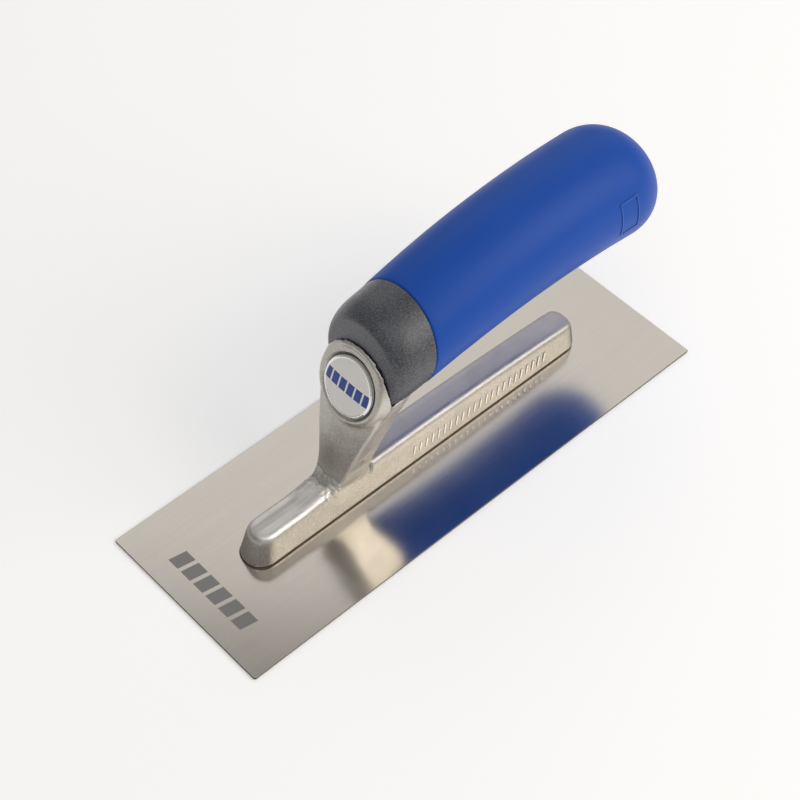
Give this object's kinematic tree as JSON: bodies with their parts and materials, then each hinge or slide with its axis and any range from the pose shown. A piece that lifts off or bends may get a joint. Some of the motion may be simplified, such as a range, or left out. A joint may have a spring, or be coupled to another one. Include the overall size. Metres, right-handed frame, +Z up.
{
  "type": "finishing trowel",
  "caption": "Rectangular steel finishing trowel with a cast aluminium bracket and a soft grip over a grey plastic core.",
  "frame": {"origin": "middle of the blade's flat working face", "axes": "+X along the blade towards the free end of the handle, +Y across the blade, +Z up away from the working face"},
  "size_m": [0.2, 0.07, 0.0908],
  "materials": {
    "steel": "satin stainless steel, finely brushed",
    "casting": "cast and vibration polished",
    "adhesive": "brown cured adhesive",
    "core": "grey speckled moulded plastic",
    "sleeve": "satin blue soft plastic",
    "foil": "pale printed foil",
    "resin": "clear domed resin"
  },
  "bodies": {
    "root": {"blade": "steel", "bracket": "casting", "adhesive_bed": "adhesive", "weld_stud_1": "steel", "weld_stud_2": "steel", "weld_stud_3": "steel", "weld_stud_4": "steel", "weld_stud_5": "steel", "weld_stud_6": "steel", "handle_core": "core", "grip_sleeve": "sleeve", "badge_foil": "foil", "badge_dome": "resin"}
  },
  "joints": []
}
